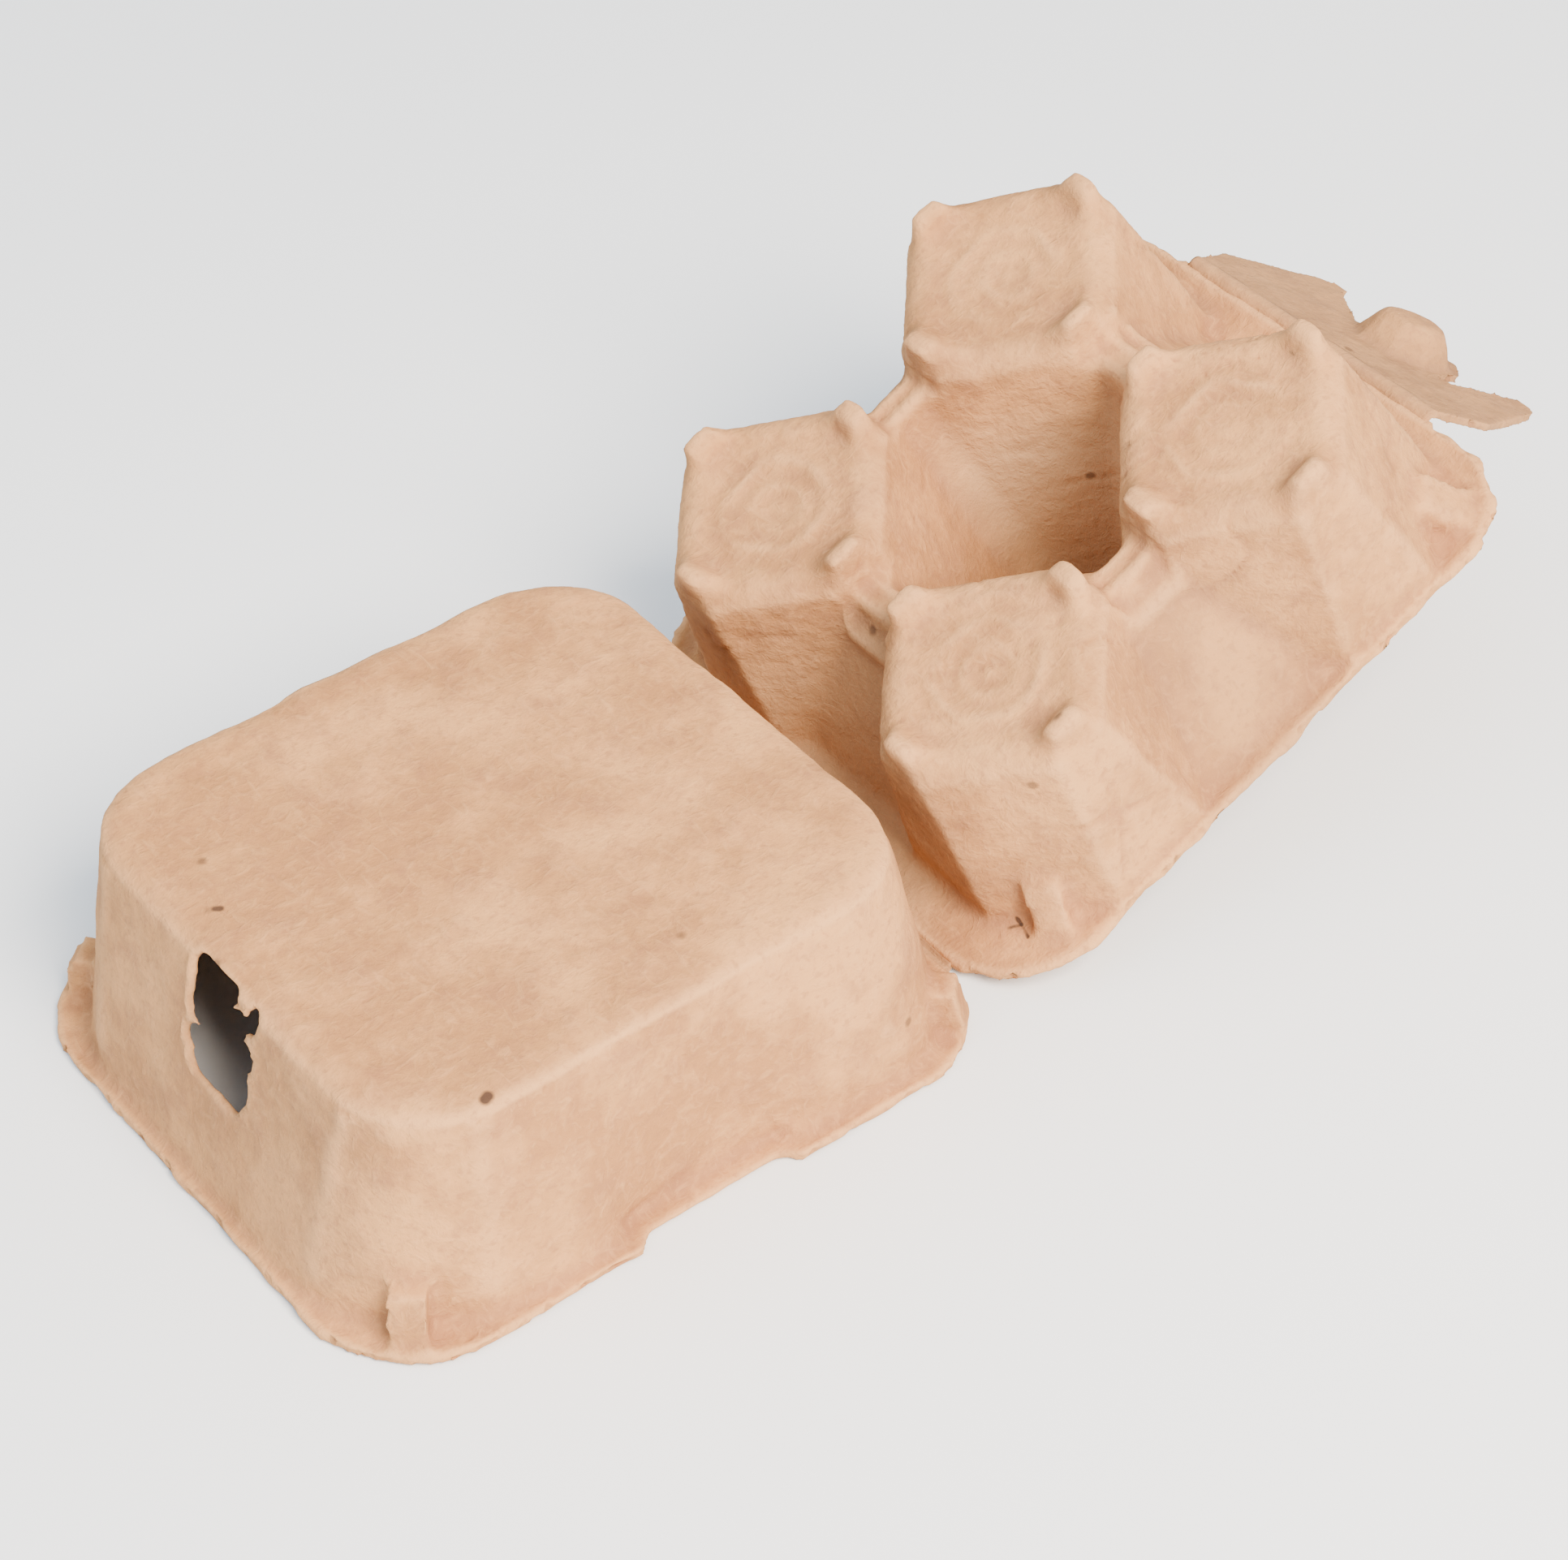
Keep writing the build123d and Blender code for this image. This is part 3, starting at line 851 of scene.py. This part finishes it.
@dataclass
class TrayShell(PulpShell):
    """The cup tray's shell, with a ragged rim that is whole where the flap and the lid join it."""

    rim: Rim = Rim(112.6 * MM, 50.5 * MM, 20.0 * MM, 15.5 * MM)
    flap_half_width: float = 28.5 * MM
    middle: float = 58.2 * MM
    half_pitch: float = 25.0 * MM
    cup_floor: float = 35.3 * MM
    bar_middle: float = 25.7 * MM
    lug: Lug = Lug((83.2, -25.0), math.radians(-45.0), 17.0, (-2.0, 4.3), ((1.0, 30.0), (9.8, 23.2)))
    foot_growth: float = 0.9 * MM
    dish_lift: float = 0.25 * MM
    ring_pitch: float = 4.6 * MM
    lip_height: float = 0.35 * MM
    # Painted shade on the side valleys' floors.
    valley_shade: float = 0.26
    # Painted light in the pocket behind the pit.
    behind_pit_light: float = 0.6

    def _edge_share(self, local: Array) -> Array:
        """See PulpShell."""
        edge = near(self.rim.inside(local[:, 0], local[:, 1]), 2.2 * MM)
        edge = edge * near(local[:, 2] - 1.2 * MM, 1.6 * MM)
        at_flap = (local[:, 0] > self.rim.length - 5 * MM) & (np.abs(local[:, 1]) < self.flap_half_width)
        at_fold = local[:, 0] < 1.6 * MM
        return np.where(at_flap | at_fold, 0.0, edge)

    def _before_softening(self, local: Array) -> Array:
        """See PulpShell: the feet start larger, because softening wears them down."""
        foot = rise(local[:, 2], self.cup_floor + 0.3 * MM, 0.8 * MM)
        out_x = np.abs(local[:, 0] - self.middle) - self.half_pitch
        out_y = np.abs(local[:, 1]) - self.half_pitch
        radius = np.maximum(np.hypot(out_x, out_y), 1 * MM)
        shift = np.zeros_like(local)
        grown = self.foot_growth * foot
        shift[:, 0] = grown * np.sign(local[:, 0] - self.middle) * out_x / radius
        shift[:, 1] = grown * np.sign(local[:, 1]) * out_y / radius
        across = np.maximum(np.abs(out_x), np.abs(out_y))
        corner = (np.abs(out_x) + np.abs(out_y)) * 0.76
        dish = near(np.maximum(across, corner) - 12.0 * MM, 3.0 * MM)
        dish = dish * (local[:, 2] > self.cup_floor - 1.3 * MM)
        shift[:, 2] = grown + self.dish_lift * dish
        return shift

    def _soft_share(self, local: Array) -> Array:
        """See PulpShell."""
        return rise(local[:, 2], self.cup_floor - 2.4 * MM, 1.5 * MM)

    def _relief(self, local: Array, normals: Array) -> Array:
        """See PulpShell: ridged bars, rings in the cups' ends, and the lip along the rim."""
        along, across = np.abs(local[:, 0] - self.middle), np.abs(local[:, 1])
        height = np.zeros(len(local))
        top = rise(local[:, 2], 17 * MM, 3 * MM) * (normals[:, 2] > 0.2)
        for run, side in ((along, across), (across, along)):
            offset = side - self.bar_middle
            here = top * near(run - 4.5 * MM, 2.5 * MM)
            height += here * (0.45 * MM * line(np.abs(offset) - 1.6 * MM, 1.0 * MM)
                              + 0.30 * MM * line(offset, 0.7 * MM)
                              - 0.25 * MM * line(offset - 4.0 * MM, 0.8 * MM)
                              + 1.00 * MM * line(offset - 5.7 * MM, 0.9 * MM))
        uneven = smoothed_noise(local, 90.0, self.seed + 20)
        radius = np.hypot(along - self.half_pitch, across - self.half_pitch) + 0.8 * MM * uneven
        end = (local[:, 2] > self.cup_floor - 1.6 * MM) & (normals[:, 2] > 0.8)
        rings = np.cos(2 * math.pi * radius / self.ring_pitch + 0.6) * near(radius - 9 * MM, 4 * MM)
        height += np.maximum(0.15 + 0.10 * uneven, 0.03) * MM * rings * end
        return height + self.lip_height * rim_lip(self.rim, local, normals, 1.7 * MM, 0.8 * MM)

    def _add_to(self, shape: Shape) -> None:
        """See PulpShell: the larger lug at the near front corner."""
        self.lug.add_to(shape, self.frame)

    def _painted_shade_share(self, local: Array, normals: Array) -> Array:
        """See PulpShell: painted shade also on the floors of the two side valleys."""
        # Painted shade where the valleys between the cups lie in shade.
        valley = near(np.abs(local[:, 0] - self.middle) - 8 * MM, 9 * MM) * (np.abs(local[:, 1]) > 27 * MM)
        valley = valley * fall(local[:, 2], 33 * MM, 10 * MM)
        return np.maximum(super()._painted_shade_share(local, normals), self.valley_shade * valley)

    def _painted_pit_light_share(self, local: Array, normals: Array) -> Array:
        """See PulpShell: painted light in the pit, and in the pocket behind it."""
        # Painted light in the centre pit and behind it.
        away = np.abs(local[:, 0] - self.middle) + np.abs(local[:, 1])
        pit = near(away - 32 * MM, 6 * MM) * fall(local[:, 2], 27 * MM, 14 * MM)
        behind = near(np.abs(local[:, 1]) - 20 * MM, 8 * MM) * (local[:, 0] < self.middle - 24 * MM)
        pit = pit * np.clip(0.4 - 0.9 * normals[:, 0], 0.1, 1.0)
        return np.maximum(pit, self.behind_pit_light * behind * fall(local[:, 2], 30 * MM, 18 * MM))


@dataclass
class LidShell(PulpShell):
    """The lid's shell, with a ragged rim and a torn latch hole."""

    rim: Rim = Rim(112.2 * MM, 51.0 * MM, 18.0 * MM, 20.0 * MM)
    lid_height: float = 37.6 * MM
    wall: float = 1.8 * MM
    waist_middle: float = 54.0 * MM
    waist_edge: float = 14.3 * MM
    waist_depth: float = 3.6 * MM
    lug: Lug = Lug((101.0, 42.0), math.radians(50.0), -3.0, (-2.6, 2.6), ((1.0, 4.2), (8.2, 3.6)))
    crest_height: float = 0.50 * MM
    corner_height: float = 0.60 * MM
    lip_height: float = 0.35 * MM
    front_reach: float = 110.4
    front_draft: float = 9.1 / 37.6

    def _add_to(self, shape: Shape) -> None:
        """See PulpShell: torn tongues in the latch hole, and the tall lug at the far front corner."""
        for across, height, reach, half, side in ((-9.8, 31.5, 3.4, 1.5, 1), (-9.8, 26.2, 2.2, 0.9, 1),
                                                  (6.4, 26.0, 3.0, 1.3, -1), (-6.2, 35.2, 2.4, 1.2, 1)):
            self._tongue(shape, across, height, reach, half, side)
        self.lug.add_to(shape, self.frame)

    def _tongue(self, shape: Shape, across: float, height: float, reach: float, half: float,
                side: int) -> None:
        """One torn tongue that stands into the latch hole from its edge.

        Args:
            shape: The mesh under way.
            across: Where the hole's edge is, in millimetres from the middle.
            height: How high the tongue starts.
            reach: How far it stands into the hole.
            half: Half its width at the root.
            side: Which way it points.
        """
        outline = ((-1.5, half), (-1.5, -half), (0.4 * reach, -1.1 * half), (reach, -0.5 * half),
                   (0.75 * reach, 0.2 * half), (0.45 * reach, 0.7 * half))
        rings = []
        for depth in (0.35, 1.45):
            ring = []
            for out, up in outline:
                level = height + up
                wall = self.front_reach - self.front_draft * level - depth
                ring.append(self.frame.spot(wall, across + side * out, level))
            rings.append(ring)
        add_prism(shape, *rings)

    def _edge_share(self, local: Array) -> Array:
        """See PulpShell."""
        edge = near(self.rim.inside(local[:, 0], local[:, 1]), 2.0 * MM)
        edge = edge * near(local[:, 2] - 1.0 * MM, 1.6 * MM)
        return np.where(local[:, 0] < 1.6 * MM, 0.0, edge)

    def _before_softening(self, local: Array) -> Array:
        """See PulpShell: the waist's ends run out softly in the wall, and only the rim keeps a step."""
        away = np.abs(local[:, 0] - self.waist_middle)
        pressed = fall(away, self.waist_edge + 0.8 * MM, 1.6 * MM)
        ramp = fall(away, self.waist_edge + 10 * MM, 20 * MM)
        ramp = ramp * ramp * (3 - 2 * ramp)
        level = rise(local[:, 2], -self.wall, self.lid_height + self.wall)
        depth = self.waist_depth * (1 - level) + 0.2 * MM * level
        share = rise(np.abs(local[:, 1]), 36 * MM, 4 * MM)
        share = share * rise(local[:, 2], 2.0 * MM, 3.0 * MM)
        shift = np.zeros_like(local)
        shift[:, 1] = np.sign(local[:, 1]) * depth * share * (pressed - ramp)
        return shift

    def _soft_share(self, local: Array) -> Array:
        """See PulpShell."""
        step = near(np.abs(np.abs(local[:, 0] - self.waist_middle) - self.waist_edge) - 3 * MM, 3 * MM)
        return step * (np.abs(local[:, 1]) > 38 * MM) * rise(local[:, 2], 2.5 * MM, 2 * MM)

    def _relief(self, local: Array, normals: Array) -> Array:
        """See PulpShell: the crest round the top, the upright corners' creases, and the rim's lip."""
        uneven = 0.75 + 0.25 * smoothed_noise(local, 60.0, self.seed + 9)
        crest = line(normals[:, 2] - 0.66, 0.20) * (local[:, 2] > 30 * MM)
        turn = np.degrees(np.arctan2(np.abs(normals[:, 1]), normals[:, 0]))
        wall = rise(local[:, 2], 3 * MM, 3 * MM) * (np.abs(normals[:, 2]) < 0.45)
        corners = wall * (local[:, 0] > 80 * MM) * (line(turn - 13.0, 6.0) + 0.5 * line(turn - 76.0, 6.0))
        lip = rim_lip(self.rim, local, normals, 1.1 * MM, 0.7 * MM)
        return uneven * (self.crest_height * crest + self.corner_height * corners + self.lip_height * lip)


@dataclass
class FlapShell(PulpShell):
    """The lock flap's shell, ragged all round apart from its crease."""

    edge_start: float = 2.0 * MM
    # Painted shade over the flap's plate, and how much less the button takes.
    plate_shade: float = 0.42
    button_shade_cut: float = 0.15

    def _add_to(self, shape: Shape) -> None:
        """See PulpShell: the thin torn pulp left between the far ear and the button."""
        outline = ((16.5, 5.5), (20.5, 7.5), (25.7, 14.2), (30.2, 19.6), (17.0, 17.0))
        rings = [[self.frame.spot(along, across, height) for along, across in outline]
                 for height in (0.25, 1.65)]
        add_prism(shape, *rings)

    def _edge_share(self, local: Array) -> Array:
        """See PulpShell."""
        normals = point_normals(self.piece.data)
        sideways = np.clip(1.4 - 2.0 * np.abs(normals @ np.array(self.frame.outward)), 0.0, 1.0)
        corner = 1.0 + 2.2 * near(np.hypot(local[:, 0] - 29.0 * MM, local[:, 1] + 12.5 * MM), 6 * MM)
        return corner * sideways * (local[:, 0] > self.edge_start) * near(local[:, 2] - 2.0 * MM, 1.0 * MM)

    def _soft_share(self, local: Array) -> Array:
        """See PulpShell: the button is a soft dome."""
        return rise(local[:, 2], 2.2 * MM, 1.5 * MM)

    def _painted_shade_share(self, local: Array, normals: Array) -> Array:
        """See PulpShell: painted shade over the whole flap, and less of it on its button."""
        return self.plate_shade - self.button_shade_cut * rise(local[:, 2], 2.0 * MM, 2.0 * MM)


@dataclass
class Crease:
    """The pulp that joins two parts across a fold."""

    name: str
    body_a: str
    body_b: str
    ring: list[tuple[float, float]]
    half_length: float
    start: Vector
    end: Vector
    lowest: float = 0.0
    seed: int = 11

    def build(self, pulp: Material) -> Object:
        """Makes the crease as a closed strip, its section running from one part across the fold to the other.

        Args:
            pulp: The material.

        Returns:
            The piece.
        """
        rows = 120
        section = np.array(self.ring)
        count = len(section)
        middle = section.mean(axis=0)
        rng = np.random.default_rng(self.seed)
        wobble = np.convolve(rng.normal(size=rows + 5), np.ones(5) / 5, "valid")
        points = []
        for row in range(rows + 1):
            y = -self.half_length + 2 * self.half_length * row / rows
            for x, z in middle + (section - middle) * (1.0 + 0.05 * wobble[row]):
                points.append((x, y, max(z, self.lowest)))
        faces = []
        for row in range(rows):
            for k in range(count):
                after = (k + 1) % count
                faces.append((row * count + k, row * count + after,
                              (row + 1) * count + after, (row + 1) * count + k))
        faces.append(tuple(range(count)))
        faces.append(tuple(rows * count + k for k in reversed(range(count))))
        mesh = bpy.data.meshes.new(self.name)
        mesh.from_pydata(points, [], faces)
        shape = bmesh.new()
        shape.from_mesh(mesh)
        bmesh.ops.recalc_face_normals(shape, faces=shape.faces)
        shape.to_mesh(mesh)
        shape.free()
        for polygon in mesh.polygons:
            polygon.use_smooth = len(polygon.vertices) == 4
        # Even painted shade and painted pit light over the crease, with no ridge highlight.
        for tone_mask, amount in (("ridge_wear_and_highlight", 0.0), ("hollow_shade", 0.2), ("painted_pit_light", 0.2), ("painted_shade", 0.2)):
            write_attribute(mesh, tone_mask, np.full(len(points), amount))
        mesh.materials.append(pulp)
        piece = bpy.data.objects.new(self.name, mesh)
        bpy.context.scene.collection.objects.link(piece)
        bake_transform(piece)
        log.info("%s: joins %s and %s", self.name, self.body_a, self.body_b)
        return piece


@dataclass
class Carton:
    """The whole carton, in the order in which it is finished."""

    joints: dict[str, dict]
    wall: float = 1.8 * MM
    fold_drop: float = 0.2 * MM
    flap_hang: float = math.radians(55.0)
    fold_half_length: float = 34.0 * MM
    crease_half_length: float = 26.8 * MM

    def joint(self, name: str) -> Vector:
        """A joint's place in the row frame."""
        return Vector(self.joints[name]["pos_m"])

    def lean(self) -> float:
        """How far the tray leans back, in radians, from the line between its two joints."""
        run = self.joint("flap_crease") - self.joint("lid_hinge")
        return math.atan2(run.z, run.x) - math.asin(self.fold_drop / math.hypot(run.x, run.z))

    def tray_frame(self) -> Frame:
        """The tray's own frame."""
        along, outward = self._axes(self.lean())
        return Frame(self.joint("lid_hinge") + outward * self.fold_drop, along, outward)

    def lid_frame(self) -> Frame:
        """The lid's own frame, which lies level and points the other way."""
        origin = self.joint("lid_hinge") + Vector((0.0, 0.0, self.fold_drop))
        return Frame(origin, Vector((-1.0, 0.0, 0.0)), Vector((0.0, 0.0, 1.0)))

    def flap_frame(self) -> Frame:
        """The lock flap's own frame."""
        along, outward = self._axes(self.lean() - self.flap_hang)
        return Frame(self.joint("flap_crease"), along, outward)

    @staticmethod
    def _axes(angle: float) -> tuple[Vector, Vector]:
        """Directions along and out of a plate that rises at an angle."""
        along = Vector((math.cos(angle), 0.0, math.sin(angle)))
        return along, Vector((-along.z, 0.0, along.x))

    def marks(self) -> list[Mark]:
        """The two dark specks on the lid and the crack beside the tray's near lug."""
        lid, tray = self.lid_frame(), self.tray_frame()
        marks = [Mark(lid.spot(85.5, -42.0, 36.9), lid.spot(86.1, -42.2, 36.8), 1.10 * MM, 0.95),
                 Mark(lid.spot(94.3, 10.5, 37.2), lid.spot(94.9, 10.9, 37.1), 0.75 * MM, 0.9)]
        for start, end in (((12.9, -36.4), (12.4, -38.3)), ((12.4, -38.3), (11.6, -40.6)),
                           ((12.4, -38.3), (10.7, -37.0))):
            marks.append(Mark(tray.spot(*start, 1.8), tray.spot(*end, 1.8), 0.45 * MM, 0.9))
        return marks

    def build(self, pulp: Material) -> None:
        """Makes every piece of the carton.

        Args:
            pulp: The material.
        """
        relief = Roughening()
        tree = relief.build()
        TrayShell("tray", "tray", self.tray_frame(), level_passes=30, soft_passes=15, painted_shade_share=0.3,
                  seed=5).build(tree, relief, pulp)
        LidShell("lid", "lid", self.lid_frame(), voxel=0.73 * MM, rounding=9, soft_passes=22,
                 wrinkle_depth=0.14 * MM, ragged_depth=0.6 * MM, seed=8).build(tree, relief, pulp)
        FlapShell("lock_flap", "lock_flap", self.flap_frame(), voxel=0.45 * MM, rounding=9, soft_passes=30,
                  wrinkle_depth=0.2 * MM, rim_height=0.8 * MM, ragged_depth=0.35 * MM,
                  seed=13).build(tree, relief, pulp)
        self._fold(pulp)
        self._flap_crease(pulp)

    def _fold(self, pulp: Material) -> None:
        """The crease between lid and tray."""
        fold = self.joint("lid_hinge")
        tray, lid = self.tray_frame(), self.lid_frame()
        ring = []
        for frame, order in ((tray, ((0.5, 0.25), (2.4, 0.5), (2.4, 1.3), (0.8, 1.42))),
                             (lid, ((0.8, 1.42), (2.4, 1.3), (2.4, 0.5), (0.5, 0.25)))):
            for distance, height in order:
                spot = frame.origin + frame.along * distance * MM + frame.outward * height * MM
                ring.append((spot.x, spot.z))
        ring.insert(4, (fold.x, 1.22 * MM))
        ring.append((fold.x, 0.02 * MM))
        Crease("fold_crease", "tray", "lid", ring, self.fold_half_length,
               start=fold + tray.along * 0.45 * MM, end=fold + lid.along * 0.45 * MM).build(pulp)

    def _flap_crease(self, pulp: Material) -> None:
        """The crease between the tray's rim and the lock flap."""
        middle = self.joint("flap_crease")
        tray, flap = self.tray_frame(), self.flap_frame()
        embed, outer, inner = 1.6 * MM, self.wall * 0.93, 0.35 * MM
        steps = 8
        turned = [tray.outward.lerp(flap.outward, step / steps).normalized() for step in range(steps + 1)]
        spots = [middle - tray.along * embed + tray.outward * outer * 0.85]
        spots += [middle + way * outer for way in turned]
        spots += [middle + flap.along * embed + flap.outward * outer * 0.85,
                  middle + flap.along * embed + flap.outward * inner]
        spots += [middle + way * inner for way in reversed(turned)]
        spots.append(middle - tray.along * embed + tray.outward * inner)
        ring = [(spot.x, spot.z) for spot in spots]
        Crease("flap_crease", "tray", "lock_flap", ring, self.crease_half_length,
               start=middle + tray.outward * outer, end=middle + flap.outward * outer, seed=17).build(pulp)


@dataclass
class Studio:
    """Pale floor, soft light and the camera at the photograph's angle."""

    fold: Vector
    image: tuple[int, int] = (1932, 1922)
    focal_px: float = 4829.6
    sensor: float = 36.0
    camera_from_fold: Vector = field(default_factory=lambda: Vector((-0.26519, -0.3516, 0.4128)))
    view: Vector = field(default_factory=lambda: Vector((0.4424, 0.5960, -0.6701)))
    right: Vector = field(default_factory=lambda: Vector((0.7904, -0.6122, -0.0227)))
    floor_tone: Colour = (0.84, 0.905, 0.965, 1.0)
    far_tone: Colour = (0.93, 0.885, 0.845, 1.0)
    tone_reach: tuple[float, float] = (0.35, 2.2)
    key_tone: tuple[float, float, float] = (1.0, 0.83, 0.68)
    fill_tone: tuple[float, float, float] = (0.72, 0.87, 1.0)
    sky_tone: Colour = (0.90, 0.95, 1.0, 1.0)
    sky_strength: float = 1.18
    floor_half: float = 4.0

    def build(self) -> None:
        """Sets the floor, the lights and the camera."""
        self._floor()
        self._lights()
        self._camera()

    def _camera(self) -> None:
        """A camera placed as the photograph's, with no shift."""
        data = bpy.data.cameras.new("photo_camera")
        data.sensor_fit = "HORIZONTAL"
        data.sensor_width = self.sensor
        data.lens = self.focal_px * self.sensor / self.image[0]
        data.clip_start = 0.01
        camera = bpy.data.objects.new("photo_camera", data)
        back = -self.view.normalized()
        right = (self.right - back * self.right.dot(back)).normalized()
        up = back.cross(right)
        turn = Matrix((right, up, back)).transposed()
        camera.matrix_world = Matrix.Translation(self.fold + self.camera_from_fold) @ turn.to_4x4()
        bpy.context.scene.collection.objects.link(camera)
        bpy.context.scene.camera = camera

    def _floor(self) -> None:
        """A large pale floor just under the carton."""
        half = self.floor_half
        mesh = bpy.data.meshes.new("floor")
        mesh.from_pydata([(-half, -half, 0), (half, -half, 0), (half, half, 0), (-half, half, 0)], [],
                         [(0, 1, 2, 3)])
        floor = bpy.data.objects.new("floor", mesh)
        floor.location = (0, 0, -0.0002)
        material = bpy.data.materials.new("floor")
        material.use_nodes = True
        graph = Graph(material.node_tree)
        place = graph.add("ShaderNodeTexCoord").outputs["Object"]
        reach = graph.add("ShaderNodeVectorMath", {0: place}, operation="LENGTH").outputs["Value"]
        tone = graph.blend(graph.part(reach, *self.tone_reach), self.floor_tone, self.far_tone)
        graph.feed(material.node_tree.nodes["Principled BSDF"], {"Base Color": tone, "Roughness": 0.9})
        mesh.materials.append(material)
        bpy.context.scene.collection.objects.link(floor)

    def _lights(self) -> None:
        """A broad warm key from the camera's right, a cool fill from its left and a pale surround."""
        world = bpy.data.worlds.new("studio")
        world.use_nodes = True
        Graph(world.node_tree).feed(world.node_tree.nodes["Background"],
                                    {"Color": self.sky_tone, "Strength": self.sky_strength})
        bpy.context.scene.world = world
        for name, place, size, power, tone in (("key", (-0.05, -0.75, 0.8), 0.6, 43.0, self.key_tone),
                                               ("fill", (-0.7, 0.1, 0.9), 1.0, 5.0, self.fill_tone)):
            data = bpy.data.lights.new(name, "AREA")
            data.size = size
            data.energy = power
            data.color = tone
            light = bpy.data.objects.new(name, data)
            light.location = place
            light.rotation_euler = (-Vector(place)).to_track_quat("-Z", "Y").to_euler()
            bpy.context.scene.collection.objects.link(light)


def main() -> None:
    """Builds the scene: studio first, then the carton."""
    logging.basicConfig(level=logging.INFO, format="%(name)s: %(message)s")
    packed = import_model()
    carton = Carton({joint["name"]: joint for joint in packed["joints"]})
    Studio(carton.joint("lid_hinge")).build()
    carton.build(PulpFinish().build(carton.marks()))


if __name__ == "__main__":
    main()
